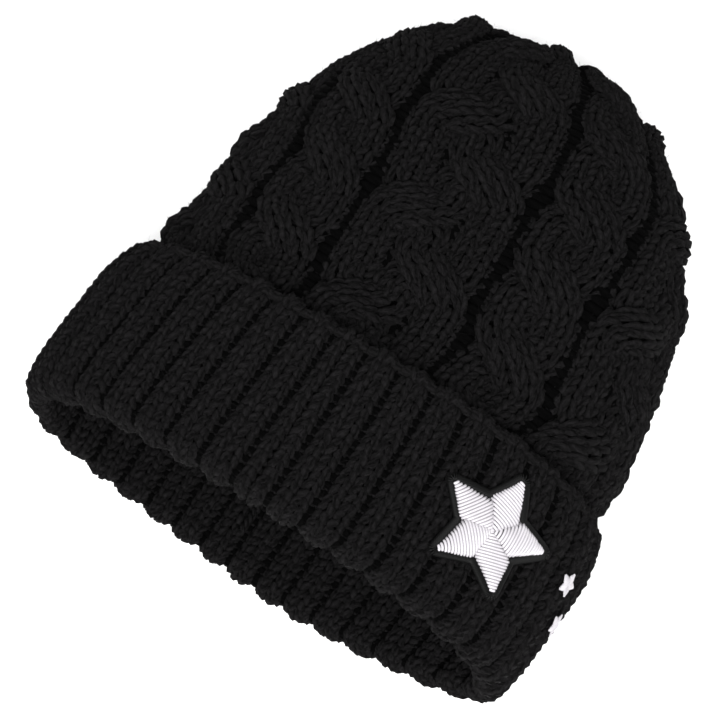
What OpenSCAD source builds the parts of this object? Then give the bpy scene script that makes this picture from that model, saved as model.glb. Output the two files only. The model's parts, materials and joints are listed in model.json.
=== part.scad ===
// Cable-knit beanie with a turned-up ribbed cuff, lying on its back.
// X runs along the brim, +Y from the mouth to the crown's tip, +Z is up.
// The origin is on the floor, under the middle of the hat's box.

/* [Overall size] */
// Width of the cuff, lying on the floor
cuff_w = 210; // [170:1:254]
// Length from the folded edge to the crown's tip
hat_len = 246; // [204:1:296]
// Width of the crown just above the cuff
crown_w = 200; // [165:1:242]
// Height of the crown above the floor
crown_h = 86; // [70:1:104]
// Height of the crown's tip above the floor
tip_z = 33; // [26:1:38]
// How far the tip leans to the hat's left
tip_lean = 12; // [0:1:20]

/* [Cuff] */
// Height of the turned-up cuff, from the folded edge to its free edge
cuff_h = 71; // [58:1:88]
// Height of the brim above the floor at the mouth
brim_h = 94; // [78:1:114]
// Extra height of the cuff at its free edge
cuff_rise = 6; // [0:0.5:8]
// How much narrower the cuff is at the mouth, each side
mouth_in = 4; // [0:0.5:6]
// How much narrower the cuff is at its free edge, each side
edge_in = 5; // [0:0.5:7]

/* [Knitted walls] */
// Thickness of the cuff's outer layer
cuff_t = 6; // [4:0.1:7.5]
// Thickness of the ribbed band under the cuff
band_t = 5; // [3.5:0.1:6.5]
// Thickness of the cabled crown
crown_t = 6; // [5:0.1:8]
// Room between the cuff and the band it lies on
fold_gap = 1.2; // [1:0.1:1.8]
// Number of ribs round the cuff
rib_count = 35; // [30:5:40]
// Depth of the groove between two ribs
rib_depth = 1.8; // [0.5:0.1:2.5]
// Number of times the cable pattern repeats round the crown
cable_repeats = 5; // [4:1:6]
// Depth of the grooves between the cables
groove_depth = 3; // [1:0.1:3.5]
// Length over which the crown swells out above the cuff
swell_len = 20; // [12:1:30]

/* [Crown's tip] */
// Radius of the gathering yarn
gather_r = 1.3; // [1:0.1:1.8]
// Radius of the eye that the drawn-up ring of yarn leaves open
gather_eye_r = 0.3; // [0.2:0.05:1]

/* [Embroidery] */
// Radius of the embroidered star
star_r = 20; // [14:0.5:24]
// Distance of the star's middle from the folded edge
star_d = 37; // [30:1:42]
// Place of the star round the cuff, as a share of the way round from the top
star_share = 0.145; // [0:0.005:0.2]
// Radius of each small mark
mark_r = 4.5; // [3:0.5:5]
// Thickness of the satin stitches
stitch_t = 1.4; // [0.8:0.1:2]
// Width of the outline stitches round the star
outline_w = 1.6; // [1:0.1:2.4]
// Thickness of the backing cloth behind the star
backing_t = 0.5; // [0.3:0.1:0.6]

/* [Care label] */
// Length of the label across the seam
label_len = 34; // [26:1:40]
// Width of the label along the seam
label_w = 24; // [18:1:30]
// Thickness of the folded label
label_t = 0.8; // [0.6:0.1:1.2]
// Distance of the label's middle from the folded edge
label_d = 124; // [110:1:130]
// Number of stitches that hold the label's folded end
label_stitch_count = 5; // [3:1:7]

/* [Seam] */
// Radius of the seam's ridge of yarn
seam_r = 1.5; // [1:0.1:1.8]

/* [Hidden] */

$fn = 32;
// Clearance between soft pieces that lie on each other
clear = 0.3;
// Exponent that makes the hat's cross-section fuller than an ellipse
round_e = 0.78;
// Height of the widest line, as a share of the section's height
widest_share = 0.42;
// Exponents of the crown's outline seen from above, from the side and below
side_pow = 2.85;
top_pow = 4.2;
under_pow = 4;
// Where the crown starts to round in, as shares of the hat's length
top_start = 0.45;
under_start = 0.5;
// How deep the floor presses the knit flat
floor_press = 2;
// Parts of the cuff's height over which it narrows at the mouth and the edge
mouth_share = 0.35;
edge_share = 0.3;
// Turn of the cable columns between the cuff and the tip, as a share of a round
column_drift = 0.02;

wall = cuff_t + fold_gap + band_t;
// The hole at the tip takes the drawn-up ring of yarn with its clearance
gather_ring_r = gather_eye_r + gather_r;
tip_hole_r = gather_ring_r + gather_r + clear;
// The knot sits in the hole's inner end: its size there, and how far it reaches in
knot_r = (tip_hole_r - clear) / 0.85;
knot_reach = 0.4 * knot_r;
band_o = cuff_t + fold_gap;
lip_r = wall / 2;
edge_round = cuff_t * 0.3;
dome_d = 0.85 * cuff_h;
// The crown's knitting takes over from the ribbed band a little below the cuff's edge
crown_start_d = cuff_h - 12;
// Distances at which both layers have their rings, so that they stay parallel
layer_rows = 5;
layer_distances = [for (k = [0 : layer_rows]) lip_r + (crown_start_d - lip_r) * k / layer_rows];
points_per_rib = 3;
ring_n = rib_count * points_per_rib;
yarn_black = [0.11, 0.105, 0.105];
yarn_dark = [0.085, 0.08, 0.08];
thread_white = [0.92, 0.91, 0.88];
thread_black = [0.06, 0.06, 0.065];

function limit(v, low, high) = min(max(v, low), high);
function mix(a, b, k) = a * (1 - k) + b * k;
function smooth(v) = let (k = limit(v, 0, 1)) k * k * (3 - 2 * k);
function signed_pow(v, e) = sign(v) * pow(abs(v), e);

// Profiles of the cuff's outer face at a distance d from the folded edge
function cuff_half(d) =
    cuff_w / 2
    - mouth_in * pow(limit(1 - d / cuff_h / mouth_share, 0, 1), 2)
    - edge_in * pow(limit(1 - (1 - d / cuff_h) / edge_share, 0, 1), 2);
function cuff_top(d) = brim_h + cuff_rise * limit(d / cuff_h, 0, 1);

// Profiles of the crown, a depth inside its outer face
function bulge(d, start, end, e) =
    sqrt(max(0, 1 - pow(limit((d - start) / (end - start), 0, 1), e)));
function crown_half(d, depth) =
    (crown_w / 2 - depth) * bulge(d, dome_d, hat_len - depth, side_pow);
function crown_top(d, depth) =
    tip_z + (crown_h - depth - tip_z) * bulge(d, top_start * hat_len, hat_len - depth, top_pow);
function crown_floor(d, depth) =
    tip_z - (tip_z - depth) * bulge(d, under_start * hat_len, hat_len - depth, under_pow);

// The knitted tube follows the cuff's inside, and swells into the crown above it
function swell(d) = smooth((d - cuff_h) / swell_len);
function tube_half(d, depth) =
    mix(cuff_half(min(d, cuff_h)) - band_o - depth, crown_half(d, depth), swell(d));
function tube_top(d, depth) =
    mix(cuff_top(d) - band_o - depth, crown_top(d, depth), swell(d));
function tube_floor(d, depth) = mix(band_o + depth, crown_floor(d, depth), swell(d));
function lean(d) = -tip_lean * pow(limit((d - cuff_h) / (hat_len - cuff_h), 0, 1), 1.5);

// A point of a cross-section: a full oval pressed flat where it meets its floor
function section_point(half, floor_z, top_z, angle, d, relief = 0) =
    let (c = cos(angle),
         s = sin(angle),
         mid_z = mix(floor_z, top_z, widest_share),
         press = floor_press * min(1, half / cuff_w * 4),
         up = top_z - relief - mid_z,
         down = mid_z - floor_z + press - relief)
    [lean(d) + (half - relief) * signed_pow(c, round_e),
     d - hat_len / 2,
     max(floor_z, mid_z + (s > 0 ? up : down) * signed_pow(s, round_e))];

// Angles that share a middle section's length out evenly, starting at the top
function middle_point(a) = section_point(cuff_w / 2, 0, brim_h, a, cuff_h);
arc_table = [for (i = 0, s = 0; i <= 360; s = s + norm(middle_point(89 - i) - middle_point(90 - i)),
                  i = i + 1) [s, 90 - i]];
arc_total = arc_table[360][0];
function angle_at(share) =
    lookup((share - floor(share)) * arc_total, arc_table);
ring_angle = [for (i = [0 : ring_n - 1]) angle_at(i / ring_n)];

// Grooves of the ribs and of the cable columns, at a share of the way round
function rib_relief(i) = i % points_per_rib == 1 ? rib_depth : 0;
function column_groove(share) =
    let (place = (share * cable_repeats + 0.5) - floor(share * cable_repeats + 0.5))
    max(smooth(1 - abs(place - 0.2) / 0.06), smooth(1 - abs(place - 0.8) / 0.06));
function cable_relief(i, d) =
    groove_depth * column_groove(i / ring_n + column_drift * swell_share(d))
    * swell(d) * min(1, tube_half(d, 0) / (crown_w * 0.3));
function swell_share(d) = limit((d - cuff_h) / (hat_len - cuff_h), 0, 1);

// Rings of points round the hat
function cuff_ring(d, depth, ribbed = false) = [for (i = [0 : ring_n - 1])
    section_point(cuff_half(d) - depth, depth, cuff_top(d) - depth, ring_angle[i], d,
                  ribbed ? rib_relief(i) : 0)];
function tube_ring(d, depth, ribbed = false, cabled = false) = [for (i = [0 : ring_n - 1])
    section_point(tube_half(d, depth), tube_floor(d, depth), tube_top(d, depth), ring_angle[i], d,
                  ribbed ? -rib_relief(i) / 2 : cabled ? cable_relief(i, d) : 0)];
function hole_ring(d) = [for (i = [0 : ring_n - 1])
    [lean(hat_len) + tip_hole_r * cos(ring_angle[i]),
     d - hat_len / 2,
     tip_z + tip_hole_r * sin(ring_angle[i])]];

// A closed solid from rings that go round its wall's outline, each once round the hat
module ring_solid(rings) {
    rows = len(rings);
    n = len(rings[0]);
    polyhedron(
        points = [for (ring = rings) each ring],
        faces = [for (r = [0 : rows - 1], i = [0 : n - 1], half = [0 : 1])
            let (next_r = (r + 1) % rows,
                 next_i = (i + 1) % n)
            half == 0
                ? [r * n + i, next_r * n + i, r * n + next_i]
                : [next_r * n + i, next_r * n + next_i, r * n + next_i]]);
}

// A closed plate from two like grids of points, one above the other
module plate_solid(under, over) {
    rows = len(under);
    n = len(under[0]);
    all = rows * n;
    polyhedron(
        points = [for (row = under) each row, for (row = over) each row],
        faces = [
            for (r = [0 : rows - 2], i = [0 : n - 2])
                let (a = r * n + i, b = a + 1, c = a + n + 1, e = a + n)
                each [[a, b, c], [a, c, e],
                      [all + a, all + c, all + b], [all + a, all + e, all + c]],
            for (i = [0 : n - 2])
                let (a = i, b = i + 1, c = all - n + i, e = c + 1)
                each [[a, all + b, b], [a, all + a, all + b],
                      [c, e, all + e], [c, all + e, all + c]],
            for (r = [0 : rows - 2])
                let (a = r * n, b = a + n, c = a + n - 1, e = c + n)
                each [[a, b, all + b], [a, all + b, all + a],
                      [c, all + e, e], [c, all + c, all + e]]]);
}

// A closed tube of given radius along a list of points, with flat ends
module yarn_tube(route, r, sides = 8) {
    last = len(route) - 1;
    rings = [for (k = [0 : last])
        let (along = route[min(k + 1, last)] - route[max(k - 1, 0)],
             dir = along / norm(along),
             across = cross(dir, [0, 0, 1]) / norm(cross(dir, [0, 0, 1])),
             up = cross(across, dir))
        [for (j = [0 : sides - 1])
            route[k] + r * cos(360 * j / sides) * across + r * sin(360 * j / sides) * up]];
    polyhedron(
        points = [for (ring = rings) each ring],
        faces = [
            for (k = [0 : last - 1], j = [0 : sides - 1])
                let (a = k * sides + j,
                     b = k * sides + (j + 1) % sides)
                each [[a, a + sides, b], [b, a + sides, b + sides]],
            [for (j = [0 : sides - 1]) j],
            [for (j = [sides - 1 : -1 : 0]) last * sides + j]]);
}

// The cabled crown, from inside the cuff to the drawn-up hole at the tip
crown_rows = 11;
crown_inner_rows = 8;
swell_rows = 3;
// Distances of the rings: the plain part under the cuff, the swell, and the dome,
// where they come closer together towards the tip
function dome_row(k, rows, end) =
    mix(cuff_h + swell_len, end, 1 - pow(1 - k / rows, 1.7));
function crown_distances(rows, end) = [
    crown_start_d,
    for (k = [0 : swell_rows - 1]) cuff_h + 1 + (swell_len - 1) * k / swell_rows,
    for (k = [0 : rows - 1]) dome_row(k, rows, end)];
module crown_knit() {
    outer = crown_distances(crown_rows, hat_len);
    inner = crown_distances(crown_inner_rows, hat_len - crown_t);
    color(yarn_black)
        ring_solid([
            for (d = outer) tube_ring(d, 0, cabled = true),
            hole_ring(hat_len),
            hole_ring(hat_len - crown_t),
            for (k = [len(inner) - 1 : -1 : 0])
                tube_ring(inner[k], k == 0 ? band_t : crown_t)]);
}

// The ribbed band under the cuff, which carries on into the crown
module inner_band() {
    last = len(layer_distances) - 1;
    color(yarn_dark)
        ring_solid([
            for (d = layer_distances) tube_ring(d, 0),
            tube_ring(crown_start_d, band_t),
            for (k = [last - 1 : -1 : 1])
                tube_ring(layer_distances[k], band_t, ribbed = true),
            tube_ring(lip_r, band_t)]);
}

// The cuff: the band turned outwards over a rounded fold
module turned_cuff() {
    color(yarn_black)
        ring_solid([
            cuff_ring(cuff_h, cuff_t - edge_round),
            cuff_ring(cuff_h, edge_round),
            for (k = [4 : -1 : 1])
                cuff_ring(mix(lip_r, cuff_h - edge_round, k / 4), 0, ribbed = true),
            cuff_ring(lip_r, 0),
            for (a = [45, 90, 135])
                cuff_ring(lip_r * (1 - sin(a)), lip_r * (1 - cos(a))),
            cuff_ring(lip_r, wall),
            cuff_ring(lip_r, band_o),
            for (d = layer_distances) cuff_ring(d, cuff_t)]);
}

// The yarn that is drawn through the last course and closes the crown
hole_inner_y = hat_len / 2 - crown_t;
module gather_yarn() {
    color(yarn_dark)
        translate([lean(hat_len), hole_inner_y + knot_reach + clear + gather_r, tip_z])
            rotate([90, 0, 0])
                rotate_extrude()
                    translate([gather_ring_r, 0])
                        circle(r = gather_r);
}

// The knot that fastens the gathering yarn inside the crown
module gather_knot() {
    color(yarn_dark)
        translate([lean(hat_len), hole_inner_y + knot_reach - knot_r, tip_z])
            sphere(r = knot_r);
}

// The seam's ridge along the inside of the back, which lies on the floor side
seam_x = -14;
seam_start_d = lip_r + 4;
seam_end_d = hat_len * 0.86;
seam_rings = 28;
seam_reach = 8;
function back_z(d) = tube_floor(d, d < crown_start_d ? band_t : crown_t);
function seam_z(d) =
    max(back_z(d - seam_reach), back_z(d), back_z(d + seam_reach)) + seam_r + clear;
module seam_yarn() {
    color(yarn_dark)
        yarn_tube([for (k = [0 : seam_rings])
            let (d = mix(seam_start_d, seam_end_d, k / seam_rings))
            [seam_x, d - hat_len / 2, seam_z(d)]], seam_r);
}

// A point on the cuff, a height above its face, at millimetres from a middle
function cuff_arc(share) = share * arc_total;
function on_cuff(share, d, across, along, height) =
    section_point(cuff_half(d + along) + height, -height, cuff_top(d + along) + height,
                  angle_at(share + across / arc_total), d + along);

// A five-pointed star's outline, from its radius, as [across, along] pairs
star_waist = 0.52;
function star_points(r) = [for (k = [0 : 9])
    let (a = 90 + 36 * k,
         q = k % 2 == 0 ? r : r * star_waist)
    [q * cos(a), q * sin(a)]];

// A thick curved plate of a star's shape, on the cuff's face
star_steps = 3;
module star_solid(share, d, r, low, high) {
    outline = star_points(r);
    n = len(outline);
    function level(height) = [
        for (s = [1 : star_steps], p = outline)
            on_cuff(share, d, p.x * s / star_steps, p.y * s / star_steps, height)];
    under = level(low);
    over = level(high);
    count = star_steps * n;
    polyhedron(
        points = [each under, each over, on_cuff(share, d, 0, 0, low), on_cuff(share, d, 0, 0, high)],
        faces = [
            for (s = [0 : star_steps - 2], i = [0 : n - 1])
                let (a = s * n + i, b = s * n + (i + 1) % n, c = a + n, e = b + n)
                each [[a, b, e], [a, e, c],
                      [count + a, count + e, count + b], [count + a, count + c, count + e]],
            for (i = [0 : n - 1])
                let (a = (star_steps - 1) * n + i,
                     b = (star_steps - 1) * n + (i + 1) % n)
                each [[a, b, count + b], [a, count + b, count + a]],
            for (i = [0 : n - 1])
                each [[2 * count, (i + 1) % n, i],
                      [2 * count + 1, count + i, count + (i + 1) % n]]]);
}

// A raised ring of outline stitches just outside a star
module star_ring(share, d, r, low, high) {
    inner = star_points(r + 2.2 * clear);
    outer = star_points(r + 2.2 * clear + outline_w * 1.6);
    n = len(inner);
    function band(outline, height) = [for (p = outline) on_cuff(share, d, p.x, p.y, height)];
    ring_solid([band(inner, low), band(inner, high), band(outer, high), band(outer, low)]);
}

// Satin stitches lie just over the ribs' crests
star_low = 0.7;
module motif_star() {
    color(thread_white)
        star_solid(star_share, star_d, star_r, star_low, star_low + stitch_t);
}

module motif_outline() {
    color(thread_black)
        star_ring(star_share, star_d, star_r, star_low, star_low + stitch_t * 0.8);
}

// The backing cloth between the two layers, behind the star
module motif_backing() {
    half_w = star_r + 2;
    middle = -cuff_t - fold_gap / 2;
    function sheet_at(height) = [for (r = [0 : 6])
        [for (i = [0 : 6])
            on_cuff(star_share, star_d, half_w * (i / 3 - 1), half_w * (r / 3 - 1), height)]];
    color("gainsboro")
        plate_solid(sheet_at(middle - backing_t / 2), sheet_at(middle + backing_t / 2));
}

// Two small stars towards the cuff's side
mark_places = [[0.216, 43], [0.237, 32]];
module small_marks() {
    color(thread_white)
        for (place = mark_places)
            star_solid(place[0], place[1], mark_r, star_low, star_low + stitch_t * 0.7);
}

// The care label is caught in the seam: it turns about the ridge's top and droops
// until its free end lies on the inside of the back
label_y = label_d - hat_len / 2;
hinge_z = seam_z(label_d) + seam_r + clear + label_t / 2;
label_droop = asin((hinge_z - back_z(label_d) - clear - label_t / 2) / label_len);
module on_label() {
    translate([seam_x, label_y, hinge_z])
        rotate([0, label_droop, 0])
            children();
}
module care_label() {
    color("white")
        on_label()
            translate([0, -label_w / 2, -label_t / 2])
                cube([label_len, label_w, label_t]);
}

// The row of stitches along the label's sewn end
label_stitch_w = 0.7;
label_stitch_inset = 2;
module label_stitches() {
    pitch = label_w / label_stitch_count;
    stitch_len = 0.6 * pitch;
    color("dimgray")
        on_label()
            for (k = [0 : label_stitch_count - 1])
                translate([label_stitch_inset,
                           (k + 0.5) * pitch - stitch_len / 2 - label_w / 2,
                           label_t / 2])
                    cube([label_stitch_w, stitch_len, label_stitch_w / 2]);
}

crown_knit();
inner_band();
turned_cuff();
gather_yarn();
gather_knot();
seam_yarn();
motif_star();
motif_outline();
motif_backing();
small_marks();
care_label();
label_stitches();
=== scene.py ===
"""A cable-knit beanie with a turned-up ribbed cuff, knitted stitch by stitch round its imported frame."""

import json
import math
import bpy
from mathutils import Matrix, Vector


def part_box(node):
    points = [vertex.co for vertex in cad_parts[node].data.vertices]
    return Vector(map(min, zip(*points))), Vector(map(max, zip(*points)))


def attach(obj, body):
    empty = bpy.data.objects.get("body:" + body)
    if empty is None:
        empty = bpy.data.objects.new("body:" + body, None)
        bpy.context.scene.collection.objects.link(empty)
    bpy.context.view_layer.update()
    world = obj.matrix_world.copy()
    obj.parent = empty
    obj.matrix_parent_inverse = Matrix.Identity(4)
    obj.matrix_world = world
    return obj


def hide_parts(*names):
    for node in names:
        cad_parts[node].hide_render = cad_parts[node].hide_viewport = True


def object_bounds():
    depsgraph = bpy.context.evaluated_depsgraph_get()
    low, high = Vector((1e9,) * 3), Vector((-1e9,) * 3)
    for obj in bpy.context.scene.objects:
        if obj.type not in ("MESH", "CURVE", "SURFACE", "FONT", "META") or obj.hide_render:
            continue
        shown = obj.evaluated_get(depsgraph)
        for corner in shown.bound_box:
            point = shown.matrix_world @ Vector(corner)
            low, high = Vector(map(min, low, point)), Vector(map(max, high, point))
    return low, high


bl_info = {
    "name": "Cable-knit beanie",
    "version": (1, 0, 0),
    "blender": (4, 5, 0),
    "location": "View3D > Sidebar > Beanie",
    "description": "Knits the beanie's yarn, embroidery, seam and label round its packed frame",
    "category": "Add Mesh",
}

import bpy
import numpy as np
from bpy.props import FloatProperty, FloatVectorProperty, IntProperty, PointerProperty
from mathutils import Vector

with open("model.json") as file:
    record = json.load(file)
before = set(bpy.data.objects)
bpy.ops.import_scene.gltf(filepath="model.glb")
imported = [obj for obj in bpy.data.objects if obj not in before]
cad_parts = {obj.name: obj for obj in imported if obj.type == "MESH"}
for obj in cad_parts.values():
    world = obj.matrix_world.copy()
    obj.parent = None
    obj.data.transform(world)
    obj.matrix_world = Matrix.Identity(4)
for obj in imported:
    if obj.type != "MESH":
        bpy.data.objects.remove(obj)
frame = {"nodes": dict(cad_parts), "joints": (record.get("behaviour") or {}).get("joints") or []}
CAD_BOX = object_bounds()
CUFF_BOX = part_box("turned_cuff")

# Lengths below are in millimetres, and become metres where a mesh is made.
MM = 0.001
TURN = 2 * math.pi


# ---------------------------------------------------------------- sizes and colours


def linear(code):
    """sRGB hex colour to linear red, green and blue: each share is raised to 2.4 above a short straight toe."""
    shares = [int(code[i : i + 2], 16) / 255 for i in (1, 3, 5)]
    return tuple(s / 12.92 if s <= 0.04045 else ((s + 0.055) / 1.055) ** 2.4 for s in shares)


def length(name, description, default):
    """A size property in millimetres."""
    return FloatProperty(name=name, description=description, default=default, min=0.0, precision=2)


def colour(name, description, code):
    """A colour property, from an sRGB hex value."""
    return FloatVectorProperty(
        name=name, description=description, subtype="COLOR", size=3, min=0, max=1, default=linear(code)
    )


class BeanieSizes(bpy.types.PropertyGroup):
    """The hat's sizes, in millimetres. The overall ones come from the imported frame."""

    hat_len: length("Length", "From the folded edge to the crown's tip", (CAD_BOX[1].y - CAD_BOX[0].y) / MM)
    cuff_w: length("Cuff width", "Width across the cuff", (CUFF_BOX[1].x - CUFF_BOX[0].x) / MM)
    cuff_h: length("Cuff height", "From the folded edge to the free edge", (CUFF_BOX[1].y - CUFF_BOX[0].y) / MM)
    cuff_rise: length("Cuff rise", "Extra height of the cuff at its free edge", 6.0)
    brim_h: length("Brim height", "Height of the brim at the mouth", 94.0)
    crown_w: length("Crown width", "Width of the crown just above the cuff", 200.0)
    crown_h: length("Crown height", "Height of the crown", 86.0)
    cuff_t: length("Cuff thickness", "Thickness of the cuff's layer", 6.0)
    band_t: length("Band thickness", "Thickness of the band under the cuff", 5.0)
    crown_t: length("Crown thickness", "Thickness of the crown", 6.0)
    rib_count: IntProperty(name="Ribs", description="Ribs round the cuff", default=35, min=8)
    repeats: IntProperty(name="Cable repeats", description="Repeats of the cables round the crown", default=5, min=2)
    row_pitch: length("Row pitch", "Height of one row of stitches", 3.75)
    yarn_r: length("Yarn radius", "Radius of the yarn where it is fullest", 1.6)


class BeanieColours(bpy.types.PropertyGroup):
    """The colours of the hat's materials."""

    yarn: colour("Yarn", "Soft-spun black yarn", "#010101")
    # The paler end of the yarn's colour: heathered fibres, and the painted highlight on the ply's crests; scaled down,
    # it is also the darkened yarn's painted shade
    yarn_light: colour("Yarn highlight", "Paler fibres of the heathered yarn", "#171617")
    white_thread: colour("White thread", "Embroidery rayon", "#a3a0a4")
    black_thread: colour("Black thread", "Outline rayon", "#040404")
    backing: colour("Backing", "Non-woven backing cloth", "#cfcdc8")
    label: colour("Label", "Woven satin tape", "#e9e7e1")
    floor: colour("Floor", "Pale plain floor", "#f4f4f4")


class BeanieView(bpy.types.PropertyGroup):
    """Where the camera stands."""

    azimuth: FloatProperty(name="Azimuth", description="Turn round the hat, in degrees", default=33.2)
    elevation: FloatProperty(name="Elevation", description="Degrees above the floor", default=64.1)
    distance: length("Distance", "From the camera to the point it looks at", 687.0)
    focal: length("Focal length", "On a 36 mm wide sensor", 89.6)
    target: FloatVectorProperty(
        name="Target", description="The point it looks at, in millimetres", size=3, default=(-11.9, -33.4, 28.7)
    )


# ---------------------------------------------------------------- the hat's shape

# Exponent that makes the cross-section fuller than an ellipse, and its widest line's share of the height
ROUND_E, WIDEST_SHARE = 0.78, 0.42
# Exponents of the crown's outline from above, from the side and below, and where it starts to round in
SIDE_POW, TOP_POW, UNDER_POW = 2.85, 4.2, 4.0
TOP_START, UNDER_START = 0.45, 0.5
# The tip's height above the floor, and how far it leans to the side
TIP_Z, TIP_LEAN = 33.0, 12.0
# How much narrower the cuff is at the fold and at its free edge, and the shares of its height that takes
MOUTH_IN, EDGE_IN = 4.0, 5.0
MOUTH_SHARE, EDGE_SHARE = 0.35, 0.3
# Gap between cuff and band, length over which the cuff's outline swells into the crown's, press into the floor
FOLD_GAP, SWELL_LEN, FLOOR_PRESS = 1.2, 20.0, 2.0
# Turn of the cable columns between the cuff and the tip, as a share of a round
COLUMN_DRIFT = 0.02
# How far the knit eases out: left side, right side at the free edge, lower lip
LEFT_SPREAD, RIGHT_SPREAD, LIP_POUT = 2.2, 4.0, 5.0
# How strongly the front cables keep their width near the tip, and the front ribs close up at the free edge
FRONT_GIVE, CUFF_GIVE = 0.32, 0.09
# Gathered folds towards the tip: depth between the cables, and one deeper dent at a share of the way round
FOLD_MM, DENT_MM, DENT_SHARE = 2.2, 4.5, -0.14


def mix(a, b, k):
    """a at share 0, b at share 1, and straight between."""
    return a + (b - a) * k


def smooth(v):
    """Share from 0 to 1 that starts and ends level: 3k squared minus 2k cubed."""
    k = np.clip(v, 0, 1)
    return k * k * (3 - 2 * k)


def signed_pow(v, e):
    """v's size to a power, with v's sign."""
    return np.sign(v) * np.abs(v) ** e


def unit(v):
    """Vectors scaled to length one."""
    return v / np.maximum(np.linalg.norm(v, axis=-1, keepdims=True), 1e-9)


class Hat:
    """The hat's smooth shape: a point for a depth, a distance from the folded edge and a share of the way round."""

    def __init__(self, size):
        self.size = size
        self.wall = size.cuff_t + FOLD_GAP + size.band_t
        self.band_o = size.cuff_t + FOLD_GAP
        self.lip_r = self.wall / 2
        self.dome_d = 0.85 * size.cuff_h
        angles = np.radians(90.0 - np.arange(361))
        ring = self.section(size.cuff_w / 2, 0.0, size.brim_h, angles, size.cuff_h)
        steps = np.linalg.norm(np.diff(ring, axis=0), axis=1)
        self.round_mm = steps.sum()
        self.arc_share = np.concatenate([[0], np.cumsum(steps)]) / self.round_mm
        self.arc_angle = angles

    def lean(self, d):
        """The crown leans to the hat's left, with the distance past the cuff to the power 1.5."""
        size = self.size
        return -TIP_LEAN * np.clip((d - size.cuff_h) / (size.hat_len - size.cuff_h), 0, 1) ** 1.5

    def section(self, half, floor_z, top_z, angle, d):
        """A full oval: cosine and sine to the power 0.78, cut off flat at its floor."""
        c, s = np.cos(angle), np.sin(angle)
        mid_z = mix(floor_z, top_z, WIDEST_SHARE)
        press = FLOOR_PRESS * np.minimum(1, half / self.size.cuff_w * 4)
        reach = np.where(s > 0, top_z - mid_z, mid_z - floor_z + press)
        x = self.lean(d) + half * signed_pow(c, ROUND_E)
        z = np.maximum(floor_z, mid_z + reach * signed_pow(s, ROUND_E))
        y = d - self.size.hat_len / 2 + 0 * x
        return np.stack([x, y, z], axis=-1)

    def bulge(self, d, start, end, e):
        """1 up to start, then the quarter of a full oval down to 0 at end."""
        return np.sqrt(np.maximum(0, 1 - np.clip((d - start) / (end - start), 0, 1) ** e))

    def layer(self, o, d, share):
        """The point a depth o below the cuff's face: the cuff's profile, which swells into the crown's past it."""
        size = self.size
        o, d, share = np.broadcast_arrays(np.asarray(o, float), np.asarray(d, float), np.asarray(share, float))
        angle = np.interp(share % 1, self.arc_share, self.arc_angle)
        depth = o - self.band_o
        on_cuff = np.minimum(d, size.cuff_h) / size.cuff_h
        half = (
            size.cuff_w / 2
            - MOUTH_IN * np.clip(1 - on_cuff / MOUTH_SHARE, 0, 1) ** 2
            - EDGE_IN * np.clip(1 - (1 - on_cuff) / EDGE_SHARE, 0, 1) ** 2
            - o
        )
        top = size.brim_h + size.cuff_rise * np.clip(on_cuff, 0, 1) - o
        end = size.hat_len - depth
        swell = smooth((d - size.cuff_h) / SWELL_LEN)
        side = (size.crown_w / 2 - depth) * self.bulge(d, self.dome_d, end, SIDE_POW)
        over = TIP_Z + (size.crown_h - depth - TIP_Z) * self.bulge(d, TOP_START * size.hat_len, end, TOP_POW)
        under = TIP_Z - (TIP_Z - depth) * self.bulge(d, UNDER_START * size.hat_len, end, UNDER_POW)
        point = self.section(mix(half, side, swell), mix(o, under, swell), mix(top, over, swell), angle, d)
        return self.ease(point, d)

    def ease(self, point, d):
        """Handling has eased the knit: the cuff's sides spread a little and its lower lip pouts forward."""
        size = self.size
        x, y, z = point[..., 0], point[..., 1], point[..., 2]
        cuff = 1 - smooth((d - size.cuff_h) / SWELL_LEN)
        side = np.clip(x / (size.cuff_w / 2), -1, 1)
        up_cuff = np.clip(d / size.cuff_h, 0, 1)
        spread = np.where(side < 0, LEFT_SPREAD, mix(0.5, RIGHT_SPREAD, up_cuff**2))
        under = 1 - smooth((z - 8) / 24)
        pout = LIP_POUT * under * (1 - smooth(d / 45)) * np.exp(-(((x - 12) / 52) ** 2))
        return np.stack([x + cuff * spread * side * np.abs(side) ** 2, y - pout, z], axis=-1)

    def crown_share(self, d, share):
        """Towards the tip the front cables keep their width and the back ones crowd: a sine of the way round."""
        give = FRONT_GIVE * smooth((d / self.size.hat_len - 0.5) / 0.32)
        return share + give * np.sin(TURN * share) / TURN

    def cuff_share(self, o, d, share):
        """At the cuff's free edge the front ribs stand a little closer, and open evenly towards the fold."""
        give = CUFF_GIVE * np.clip(d / self.size.cuff_h, 0, 1) * (1 - smooth(o / self.lip_r))
        return share - give * np.sin(TURN * share) / TURN

    def front_width(self, d, share):
        """How much wider than even the cables stand there: the slope of crown_share."""
        return 1 + FRONT_GIVE * smooth((d / self.size.hat_len - 0.5) / 0.32) * np.cos(TURN * share)

    def cuff_profile(self):
        """Depths and distances along the ribbed fabric: free edge, cuff, the fold round to the inside, band."""
        size, edge_r = self.size, self.size.cuff_t / 2 - 0.01
        half_turn = np.linspace(0, math.pi, 24)
        edge_d, inner_end = size.cuff_h - edge_r, size.cuff_h - 5
        parts = [
            (np.full(8, size.cuff_t), np.linspace(edge_d - 3, edge_d, 8, endpoint=False)),
            (edge_r + edge_r * np.cos(half_turn), edge_d + edge_r * np.sin(half_turn)),
            (np.zeros(60), np.linspace(edge_d, self.lip_r, 62)[1:-1]),
            (self.lip_r - self.lip_r * np.cos(half_turn), self.lip_r - self.lip_r * np.sin(half_turn)),
            (np.full(80, self.wall), np.linspace(self.lip_r, inner_end, 81)[1:]),
        ]
        return np.concatenate([p[0] for p in parts]), np.concatenate([p[1] for p in parts])

    def crown_profile(self, depth):
        """Depths and distances along the crown's face, closer together towards the tip."""
        size = self.size
        share = np.linspace(0, 1, 400)
        start = size.cuff_h - 9
        d = mix(start, size.hat_len - depth, 1 - (1 - share) ** 2.2)
        return self.band_o + depth + 0 * d, d


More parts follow.
